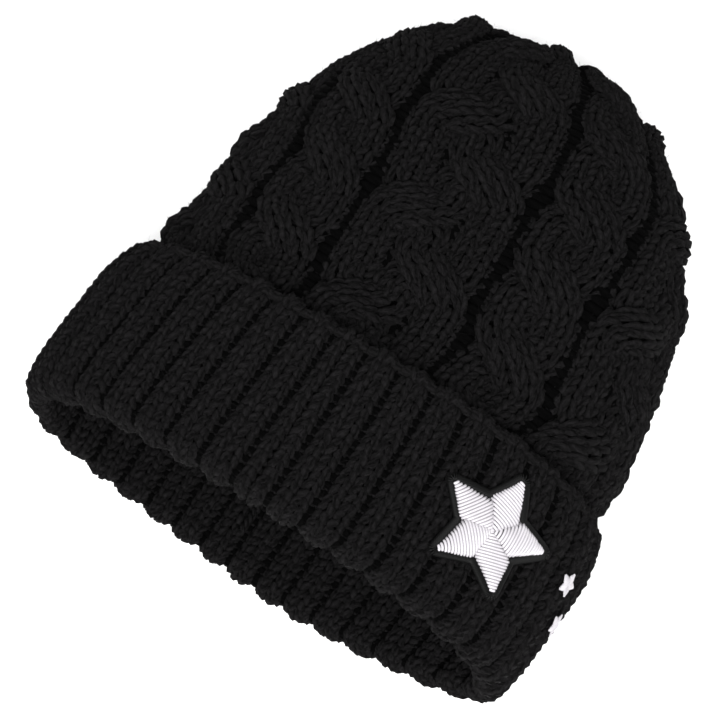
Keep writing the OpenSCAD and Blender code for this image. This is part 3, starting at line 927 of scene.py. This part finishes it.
class BEANIE_OT_knit_crown(bpy.types.Operator):
    """Knit the crown: wide three-strand plaits and narrow ropes, parted by purl grooves"""

    bl_idname = "beanie.knit_crown"
    bl_label = "Knit the cabled crown"

    def execute(self, context):
        size = context.scene.beanie_sizes
        hat = Hat(size)
        cloth = Cloth(hat, hat.crown_profile(0.0), 0.3, crowned=True)
        rows = int(round(cloth.length[0] / size.row_pitch))
        widest = cloth.around.max()
        narrow = cloth.around / widest
        even = np.linspace(0, 1, cloth.ROWS)
        yarn, core_soup = material("yarn"), Soup()
        for repeat in range(size.repeats):
            plait = Cable(3, [(1, True), (0, False)], PLAIT_CROSS_ROWS, PLAIT_PHASE, rows)
            rope = Cable(2, [(0, True)], ROPE_CROSS_ROWS, ROPE_PHASE + ROPE_PHASE_STEP * repeat, rows)
            for name, cable, middle, half in (
                ("plait", plait, repeat / size.repeats, PLAIT_HALF),
                ("rope", rope, (repeat + 0.5) / size.repeats, ROPE_HALF),
            ):
                soup = Soup()
                local = narrow * hat.front_width(cloth.distance[:, 0], middle)
                row_width = np.interp(np.arange(rows) / rows, even, local)
                strand_share = 2 * half / cable.strands / size.repeats
                for k in range(cable.strands):
                    route = self.strand_route(cloth, cable, k, middle, strand_share, rows, widest, local)
                    seed = 1000 * (repeat + 1) + 10 * cable.strands + k
                    for wales, most, least in WALE_BANDS:
                        chosen = np.nonzero((row_width <= most) & (row_width > least))[0]
                        if len(chosen):
                            wider = self.widened(route, STRAND_WALES / wales)
                            knit_courses(soup, cloth, size, wales, chosen, wider, seed + wales * 100, SPOTS)
                bars = np.nonzero(row_width > 0.3)[0]
                for edge in (-1, 1) if name == "plait" else ():
                    aside = edge * (half + GUTTER_SHARE) / size.repeats
                    groove = middle + aside - COLUMN_DRIFT * bars[:, None] / rows
                    purl_bars(
                        core_soup, cloth, bars, 1 / rows, groove, GUTTER_WIDTH_MM, GUTTER_LIFT_MM, GUTTER_R_MM
                    )
                soup.build(f"crown_{name}_{repeat + 1}", yarn, "hat", "yarn", ["crown_knit"])
        self.core(core_soup, hat, cloth, rows)
        return {"FINISHED"}

    def widened(self, route, scale):
        """The same route for a strand of fewer stitches, each of them wider by the scale."""
        return lambda across, along: route(across * scale, along)

    def strand_route(self, cloth, cable, k, middle, strand_share, rows, widest, narrow):
        """Stitches follow their strand: across it they turn with its slope, and its crest is rounded."""
        strand_mm = strand_share * widest
        stitch_mm = strand_mm / STRAND_WALES
        row_mm = cloth.length.mean() / rows
        travel = min(cable.cross_rows * 0.86, 6.2)

        def route(across, along):
            sideways, slope, level = cable.strand(k, along, travel)
            width = np.interp(along / rows, np.linspace(0, 1, cloth.ROWS), narrow)
            turn = TURN_WITH * np.arctan(slope * strand_mm * width / row_mm)
            spread = 1 + np.where(level > 0, OVER_SPREAD, UNDER_SPREAD) * np.abs(level)
            x = sideways * strand_share + across * stitch_mm * spread * np.cos(turn) / widest
            v = along - across * stitch_mm * width * np.sin(turn) / row_mm
            lift = np.where(level > 0, OVER_MM, UNDER_MM) * level
            lift = (lift - STRAND_ROUND_MM * np.abs(across / 1.5) ** 2.2) * np.clip(width * 1.6, 0.3, 1)
            thick = np.clip(0.4 + 0.6 * width * 1.15, 0.55, 1.0) * (1 + 0.1 * np.clip(level, 0, 1))
            s = v / rows
            return middle + x - COLUMN_DRIFT * s, s, lift, thick

        return route

    def core(self, soup, hat, cloth, rows):
        """The crown's inside: its middle under the cables and the head side with its purl bumps, with the gutters' purl
        bars, all in darkened yarn as painted shade.
        """
        s = np.linspace(0.0, 0.985, 122)
        share = np.arange(300) / 300
        s_grid, share_grid = np.meshgrid(s, share, indexing="ij")
        face = cloth.place(s_grid, share_grid, mix(-1.2, -4.1, smooth(s_grid * 20)))[0]
        inner = Cloth(hat, hat.crown_profile(hat.size.crown_t), 0.3, crowned=True)
        columns = 19 * hat.size.repeats
        bumps = 0.55 * np.cos(TURN * rows * s_grid) * (1 + 0.4 * np.cos(TURN * columns * share_grid))
        back = inner.place(s_grid, share_grid, bumps)[0]
        soup.add_grid(np.concatenate([face, back[::-1]]), closed_rows=True)
        soup.build("crown_core", material("painted_shade_yarn"), "hat", "yarn")


# ---------------------------------------------------------------- tip, seam, embroidery and label


def wound_line(line, normal, radius, pitch, phase):
    """A strand wound round a line: it circles at a radius, once every pitch of the line's length."""
    steps = np.linalg.norm(np.diff(line, axis=0), axis=1)
    travelled = np.concatenate([[0], np.cumsum(steps)])
    tangent = unit(np.gradient(line, axis=0))
    side = unit(np.cross(tangent, normal))
    up = np.cross(side, tangent)
    angle = (TURN * travelled / pitch + phase)[:, None]
    return line + radius * (np.cos(angle) * side + np.sin(angle) * up)


class BEANIE_OT_close_tip(bpy.types.Operator):
    """Draw up the crown's tip with its gathering yarn, and knot it inside"""

    bl_idname = "beanie.close_tip"
    bl_label = "Close the crown's tip"

    def execute(self, context):
        ring_low, ring_high = (np.array(c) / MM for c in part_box("gather_yarn"))
        middle, span = (ring_low + ring_high) / 2, (ring_high - ring_low) / 2
        yarn_r = span[1] * 0.72
        angle = np.linspace(0, TURN, 97)
        soup = Soup()
        ahead = np.array([0.0, 1.0, 0.0])
        # The yarn goes round twice: the second turn lies wider, on the head side, and shuts the tip to light
        eye_r = span[0] - span[1]
        for ring_r, inward in ((eye_r, 0.0), (eye_r + 1.6 * yarn_r, 1.5 * yarn_r)):
            ring = middle + np.stack([ring_r * np.cos(angle), 0 * angle - inward, ring_r * np.sin(angle)], axis=1)
            for phase in (0, math.pi):
                line = wound_line(ring, ahead, yarn_r * 0.55, TURN * ring_r / 2, phase)
                soup.add_tubes(line[None], np.broadcast_to(ahead, line[None].shape), yarn_r * 0.8, 8)
        soup.build("gather_ring", material("yarn"), "hat", "yarn", ["gather_yarn"])

        knot_low, knot_high = (np.array(c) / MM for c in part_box("gather_knot"))
        heart, reach = (knot_low + knot_high) / 2, (knot_high - knot_low)[0] / 2
        turn = np.linspace(0, TURN, 121)
        loop = (2 + np.cos(3 * turn)) * reach * 0.24
        knot = heart + np.stack(
            [loop * np.cos(2 * turn), reach * 0.42 * np.sin(3 * turn), loop * np.sin(2 * turn)], axis=1
        )
        soup = Soup()
        soup.add_tubes(knot[None], np.broadcast_to(ahead, knot[None].shape), reach * 0.27, 8)
        t = np.linspace(0, 1, 14)
        for way in (-1, 1):
            tail = heart + np.stack(
                [way * reach * (0.3 + 0.9 * t), -reach * (0.4 + 2.6 * t**0.8), -reach * 0.8 * t * t], axis=1
            )
            side = np.broadcast_to(np.array([0.0, 0.0, 1.0]), tail[None].shape)
            soup.add_tubes(tail[None], side, (reach * 0.24 * (1 - 0.55 * t**3))[None], 8)
        soup.build("gather_knot_yarn", material("yarn"), "hat", "yarn", ["gather_knot"])
        return {"FINISHED"}


class BEANIE_OT_sew_seam(bpy.types.Operator):
    """Lay the back seam's ridge of yarn along the inside"""

    bl_idname = "beanie.sew_seam"
    bl_label = "Sew the back seam"

    def execute(self, context):
        mesh = frame["nodes"]["seam_yarn"].data
        points = np.empty(len(mesh.vertices) * 3)
        mesh.vertices.foreach_get("co", points)
        points = points.reshape(-1, 3) / MM
        low, high = points.min(axis=0), points.max(axis=0)
        # The ridge's middle at each step along it lies halfway between its lowest and highest points
        stations = np.linspace(low[1] + 1, high[1] - 1, 60)
        near = [points[np.abs(points[:, 1] - y) < 5] for y in stations]
        heights = np.array([(p[:, 2].min() + p[:, 2].max()) / 2 for p in near])
        heights = np.convolve(np.pad(heights, 3, mode="edge"), np.ones(7) / 7, mode="valid")
        y = np.linspace(stations[0], stations[-1], 620)
        ridge_r = (high[0] - low[0]) / 2
        line = np.stack([0 * y + (low[0] + high[0]) / 2, y, np.interp(y, stations, heights)], axis=1)
        soup = Soup()
        up = np.array([0.0, 0.0, 1.0])
        for phase in (0, math.pi):
            strand = wound_line(line, up, ridge_r * 0.5, 5.2, phase)
            soup.add_tubes(strand[None], np.broadcast_to(up, strand[None].shape), ridge_r * 0.55, 7)
        soup.build("back_seam", material("yarn"), "hat", "yarn", ["seam_yarn"])
        return {"FINISHED"}


# Radius at a star's inner corners, as a share of its points' radius
STAR_WAIST = 0.52
# Share of the way round the cuff, and distance from the folded edge, of the star and of the two small ones
STAR_SHARE, STAR_D = 0.145, 37.0
MARK_PLACES = ((0.216, 43.0), (0.237, 32.0))
STAR_R, MARK_R, OUTLINE_W = 20.0, 4.5, 2.2


class Patch:
    """A flat pattern in millimetres, laid on the cuff's face round a middle point."""

    def __init__(self, hat, share, d):
        self.hat, self.share, self.d = hat, share, d

    def place(self, across, along, height):
        """Points of the pattern at heights above the face, and the face's normals there."""
        share = self.share + across / self.hat.round_mm
        d = self.d + along
        point = self.hat.layer(-height, d, share)
        normal = unit(self.hat.layer(-height - 0.5, d, share) - self.hat.layer(-height + 0.5, d, share))
        return point, normal


def star_arm(radius, turn, pitch, seed):
    """Ends of the satin stitches across one arm of a star, at both of its edges, from the middle out.

    The arm widens evenly up to the waist and narrows evenly to the point; each stitch slants by 0.22 of its half.
    """
    draw = np.random.default_rng(seed)
    waist_r = radius * STAR_WAIST
    waist_along, waist_half = waist_r * math.cos(TURN / 10), waist_r * math.sin(TURN / 10)
    q = np.arange(0.3 * pitch, radius, pitch)
    half = np.where(q < waist_along, waist_half * q / waist_along,
                    waist_half * (radius - q) / (radius - waist_along))
    half = half + draw.uniform(-0.12, 0.12, len(q)) * pitch + 0.35 * pitch
    slant = 0.22 * half
    c, s = math.cos(turn), math.sin(turn)
    ends = []
    for side in (-1, 1):
        along, across = q + side * slant, side * half
        ends.append(np.stack([along * c - across * s, along * s + across * c], axis=1))
    return ends


def satin_stitches(soup, patch, starts, ends, low, rise, radius, points, sides):
    """Satin stitches: each goes straight from start to end, and arches over the padding between them."""
    t = np.linspace(0, 1, points)
    flat = mix(starts[:, None], ends[:, None], t[None, :, None])
    span = np.linalg.norm(ends - starts, axis=1)[:, None]
    arch = np.sqrt(np.maximum(0, 1 - (2 * t - 1) ** 2))[None]
    height = low + rise * np.minimum(1, span / 6) ** 0.7 * arch
    centre, normal = patch.place(flat[..., 0], flat[..., 1], height)
    soup.add_tubes(centre, normal, np.full(centre.shape[:2], radius), sides)


def star_outline(radius, count):
    """Even points round a star's edge, and the directions that point out of it."""
    angle = math.pi / 2 + TURN / 10 * np.arange(11)
    r = np.where(np.arange(11) % 2 == 0, radius, radius * STAR_WAIST)
    corners = np.stack([r * np.cos(angle), r * np.sin(angle)], axis=1)
    place = np.linspace(0, 10, count, endpoint=False)
    points = np.stack([np.interp(place, np.arange(11), corners[:, k]) for k in (0, 1)], axis=1)
    for _ in range(6):
        points = (np.roll(points, 1, axis=0) + 2 * points + np.roll(points, -1, axis=0)) / 4
    ahead = np.roll(points, -3, axis=0) - np.roll(points, 3, axis=0)
    return points, unit(np.stack([ahead[:, 1], -ahead[:, 0]], axis=1))


class BEANIE_OT_embroider(bpy.types.Operator):
    """Embroider the star, its outline and the two small marks on the cuff"""

    bl_idname = "beanie.embroider"
    bl_label = "Embroider the cuff"

    def execute(self, context):
        hat = Hat(context.scene.beanie_sizes)
        white, black = material("white_thread"), material("black_thread")
        patch = Patch(hat, STAR_SHARE, STAR_D)
        soup = Soup()
        self.star(soup, patch, STAR_R, 1.05, 0.4, 1.5, 0.5)
        soup.build("star_stitches", white, "hat", "thread_white", ["motif_star"])

        soup = Soup()
        points, out = star_outline(STAR_R + 0.9, 330)
        tilt = np.roll(points, -1, axis=0) - points
        starts, ends = points - out * 0.5, points + out * OUTLINE_W - tilt * 0.4
        satin_stitches(soup, patch, starts, ends, 0.35, 0.95, 0.27, 6, 5)
        soup.build("star_outline", black, "hat", "thread_black", ["motif_outline"])

        soup = Soup()
        for share, d in MARK_PLACES:
            self.star(soup, Patch(hat, share, d), MARK_R, 0.5, 0.4, 0.9, 0.25)
        soup.build("small_star_stitches", white, "hat", "thread_white", ["small_marks"])
        self.backing(hat)
        return {"FINISHED"}

    def star(self, soup, patch, radius, pitch, low, rise, thread_r):
        """Five arms of satin stitches, each turned a fifth of a round from the last."""
        for arm in range(5):
            turn = math.pi / 2 + TURN * arm / 5
            starts, ends = star_arm(radius, turn, pitch, 40 + arm)
            satin_stitches(soup, patch, starts, ends, low, rise, thread_r * 1.1, 9, 6)

    def backing(self, hat):
        """A thin sheet of non-woven cloth between the cuff and the band, with pinked edges."""
        size = hat.size
        half = STAR_R + 2
        steps = np.linspace(-half, half, 45)
        across, along = np.meshgrid(steps, steps, indexing="ij")
        pink = 0.5 * (np.arange(45) % 2)
        across = across - np.sign(across) * (np.abs(across) > half - 0.1) * pink[None, :]
        along = along - np.sign(along) * (np.abs(along) > half - 0.1) * pink[:, None]
        depth = np.full(across.shape, -size.cuff_t - FOLD_GAP / 2)
        face = Patch(hat, STAR_SHARE, STAR_D).place(across, along, depth)[0]
        soup = Soup()
        soup.add_grid(face, closed_columns=False)
        piece = soup.build("embroidery_backing", material("backing"), "hat", "backing", ["motif_backing"])
        wall = piece.modifiers.new("cloth thickness", "SOLIDIFY")
        wall.thickness, wall.offset = 0.3 * MM, 0.0


class BEANIE_OT_sew_label(bpy.types.Operator):
    """Fold the satin care label and stitch its end into the seam"""

    bl_idname = "beanie.sew_label"
    bl_label = "Sew the care label"

    def execute(self, context):
        mesh = frame["nodes"]["care_label"].data
        points = np.empty(len(mesh.vertices) * 3)
        mesh.vertices.foreach_get("co", points)
        points = points.reshape(-1, 3) / MM
        hinge = np.array(frame["joints"][0]["pos_m"]) / MM
        far = points[points[:, 0] > points[:, 0].max() - 1.0].mean(axis=0)
        width = np.ptp(points[:, 1])
        run = np.array([far[0] - hinge[0], 0.0, far[2] - hinge[2]])
        reach = np.linalg.norm(run)
        ahead, over = run / reach, np.array([-run[2], 0.0, run[0]]) / reach
        turn_r = 0.22
        straight = reach - turn_r
        flat_len = 2 * straight + math.pi * turn_r
        travelled = np.linspace(0, flat_len, 90)
        angle = np.clip((travelled - straight) / turn_r, 0, math.pi)
        out = np.where(travelled < straight, travelled, straight + turn_r * np.sin(angle))
        out = np.where(travelled > flat_len - straight, flat_len - travelled, out)
        up = -turn_r * np.cos(angle)
        side = np.linspace(-width / 2, width / 2, 30)
        out_grid, side_grid = np.meshgrid(out, side, indexing="ij")
        up_grid = np.broadcast_to(up[:, None], out_grid.shape)
        wave = 0.1 * np.sin(side_grid * 0.5) * np.sin(out_grid * 0.12)
        middle = np.array([hinge[0], points[:, 1].mean(), hinge[2]])
        strip = middle + out_grid[..., None] * ahead + (up_grid + wave)[..., None] * over
        strip[..., 1] += side_grid
        soup = Soup()
        soup.add_grid(strip, closed_columns=False, turned=True)
        label = soup.build("satin_label", material("label"), "label", "label", ["care_label"])
        wall = label.modifiers.new("tape thickness", "SOLIDIFY")
        wall.thickness, wall.offset = 0.16 * MM, 0.0

        soup = Soup()
        count = 9
        row = (np.arange(count) + 0.5) / count * width * 0.9 - width * 0.45
        t = np.linspace(-1, 1, 7)
        stitches = (
            middle + 2.2 * ahead + (0.34 + 0.24 * np.sqrt(1 - t**2))[None, :, None] * over
            + np.zeros((count, 7, 3))
        )
        stitches[..., 1] += row[:, None] + t[None] * 0.9
        soup.add_tubes(stitches, np.broadcast_to(over, stitches.shape), np.full((count, 7), 0.17), 6)
        sewn = soup.build("label_stitch_row", material("black_thread"), "label", "label", ["label_stitches"])
        return {"FINISHED"}


# Fibres on the cuff and on the crown, points along each, and its half-width in millimetres at the root
FUZZ_COUNT, FUZZ_POINTS, FUZZ_HALF_MM = 12000, 5, 0.05


class BEANIE_OT_brush_fuzz(bpy.types.Operator):
    """Brush up the loose fibres that stand off the yarn"""

    bl_idname = "beanie.brush_fuzz"
    bl_label = "Brush up the fuzz"

    def execute(self, context):
        spots = np.concatenate([s.reshape(-1, 7) for s in SPOTS])
        middle = (CUFF_BOX[1].y / MM) - 4
        self.brush("cuff_fibres", spots[spots[:, 1] < middle], 77)
        self.brush("crown_fibres", spots[spots[:, 1] >= middle], 78)
        return {"FINISHED"}

    def brush(self, name, spots, seed):
        """Short curved ribbons that start on the yarn and lean along the fabric."""
        draw = np.random.default_rng(seed)
        spots = spots[draw.integers(0, len(spots), FUZZ_COUNT)]
        root, normal, radius = spots[:, :3], spots[:, 3:6], spots[:, 6:]
        sideways = unit(np.cross(normal, draw.normal(size=root.shape)))
        lean = unit(normal + sideways * draw.uniform(0.0, 0.9, (len(root), 1)))
        start = root + lean * radius * 0.9
        fibre_len = 1.3 + 4.2 * draw.random((len(root), 1)) ** 2.5
        curl = unit(np.cross(lean, draw.normal(size=root.shape)))
        bend = draw.uniform(-0.9, 0.9, (len(root), 1))
        lay = draw.uniform(0.1, 0.55, (len(root), 1))
        t = np.linspace(0, 1, FUZZ_POINTS)[None, :, None]
        drift = sideways[:, None] * (t * (1 - lay[:, None])) + lean[:, None] * (lay[:, None] * t * (1.3 - 0.5 * t))
        line = start[:, None] + fibre_len[:, None] * (drift + curl[:, None] * bend[:, None] * 0.5 * t * t)
        width = FUZZ_HALF_MM * (1 - 0.6 * t)
        tangent = unit(np.gradient(line, axis=1))
        flat = unit(np.cross(tangent, normal[:, None] + 0.3 * curl[:, None]))
        line[..., 2] = np.maximum(line[..., 2], 0.1)
        edges = np.stack([line - flat * width, line + flat * width], axis=2)
        soup = Soup()
        index = np.arange(FUZZ_COUNT * FUZZ_POINTS * 2).reshape(FUZZ_COUNT, FUZZ_POINTS, 2)
        quads = np.stack([index[:, :-1, 0], index[:, 1:, 0], index[:, 1:, 1], index[:, :-1, 1]], axis=-1)
        soup.vertices.append(edges.reshape(-1, 3))
        soup.quads.append(quads.reshape(-1, 4))
        soup.maps.append(np.zeros((quads.size, 2)))
        soup.build(name, material("fuzz"), "hat", "yarn")


# ---------------------------------------------------------------- stage


def add_light(name, place_mm, aim_mm, size_m, power):
    """A square soft light that looks at a point."""
    lamp = bpy.data.lights.new(name, "AREA")
    lamp.shape, lamp.size, lamp.energy = "SQUARE", size_m, power
    holder = bpy.data.objects.new(name, lamp)
    bpy.context.scene.collection.objects.link(holder)
    place, aim = Vector(place_mm) * MM, Vector(aim_mm) * MM
    holder.location = place
    holder.rotation_mode = "QUATERNION"
    holder.rotation_quaternion = (aim - place).to_track_quat("-Z", "Y")


class BEANIE_OT_set_stage(bpy.types.Operator):
    """Set the pale floor, the soft studio lights and the camera"""

    bl_idname = "beanie.set_stage"
    bl_label = "Set the stage"

    def execute(self, context):
        scene, eye = context.scene, context.scene.beanie_view
        half = 4.0
        mesh = bpy.data.meshes.new("floor")
        mesh.from_pydata([(-half, -half, 0), (half, -half, 0), (half, half, 0), (-half, half, 0)], [], [(0, 1, 2, 3)])
        mesh.materials.append(material("floor"))
        floor = bpy.data.objects.new("floor", mesh)
        scene.collection.objects.link(floor)

        world = bpy.data.worlds.new("white studio")
        world.use_nodes = True
        background = world.node_tree.nodes["Background"]
        background.inputs["Color"].default_value = (1.0, 1.0, 1.0, 1.0)
        background.inputs["Strength"].default_value = 0.95
        scene.world = world
        add_light("key", (330, -620, 880), (0, 0, 30), 0.45, 21.0)
        add_light("rim", (-300, -900, 900), (0, 20, 40), 0.9, 4.0)

        a, e = math.radians(eye.azimuth), math.radians(eye.elevation)
        back = Vector((math.sin(a) * math.cos(e), -math.cos(a) * math.cos(e), math.sin(e)))
        data = bpy.data.cameras.new("camera")
        data.sensor_width, data.lens = 36.0, eye.focal
        data.clip_start, data.clip_end = 0.01, 20.0
        camera = bpy.data.objects.new("camera", data)
        camera.location = (Vector(eye.target) + back * eye.distance) * MM
        camera.rotation_mode = "QUATERNION"
        camera.rotation_quaternion = (-back).to_track_quat("-Z", "Y")
        scene.collection.objects.link(camera)
        scene.camera = camera
        scene.view_settings.view_transform = "Standard"
        return {"FINISHED"}


# ---------------------------------------------------------------- panel and registration

OPERATORS = (
    BEANIE_OT_set_stage,
    BEANIE_OT_knit_cuff,
    BEANIE_OT_knit_crown,
    BEANIE_OT_close_tip,
    BEANIE_OT_sew_seam,
    BEANIE_OT_embroider,
    BEANIE_OT_sew_label,
    BEANIE_OT_brush_fuzz,
)


class BEANIE_PT_panel(bpy.types.Panel):
    """Lists the beanie's steps in the order they are made"""

    bl_label = "Beanie"
    bl_idname = "BEANIE_PT_panel"
    bl_space_type = "VIEW_3D"
    bl_region_type = "UI"
    bl_category = "Beanie"

    def draw(self, context):
        for group in (context.scene.beanie_sizes, context.scene.beanie_colours, context.scene.beanie_view):
            box = self.layout.box()
            for key in group.bl_rna.properties.keys():
                if key not in ("rna_type", "name"):
                    box.prop(group, key)
        for operator in OPERATORS:
            self.layout.operator(operator.bl_idname)


CLASSES = (BeanieSizes, BeanieColours, BeanieView, *OPERATORS, BEANIE_PT_panel)


def register():
    """Registers the classes and hangs the settings on the scene."""
    for cls in CLASSES:
        bpy.utils.register_class(cls)
    bpy.types.Scene.beanie_sizes = PointerProperty(type=BeanieSizes)
    bpy.types.Scene.beanie_colours = PointerProperty(type=BeanieColours)
    bpy.types.Scene.beanie_view = PointerProperty(type=BeanieView)


def unregister():
    """Takes the settings and the classes away again."""
    for key in ("beanie_sizes", "beanie_colours", "beanie_view"):
        delattr(bpy.types.Scene, key)
    for cls in reversed(CLASSES):
        bpy.utils.unregister_class(cls)


def main():
    register()
    for operator in OPERATORS:
        group, name = operator.bl_idname.split(".")
        getattr(getattr(bpy.ops, group), name)()


if __name__ == "__main__":
    main()
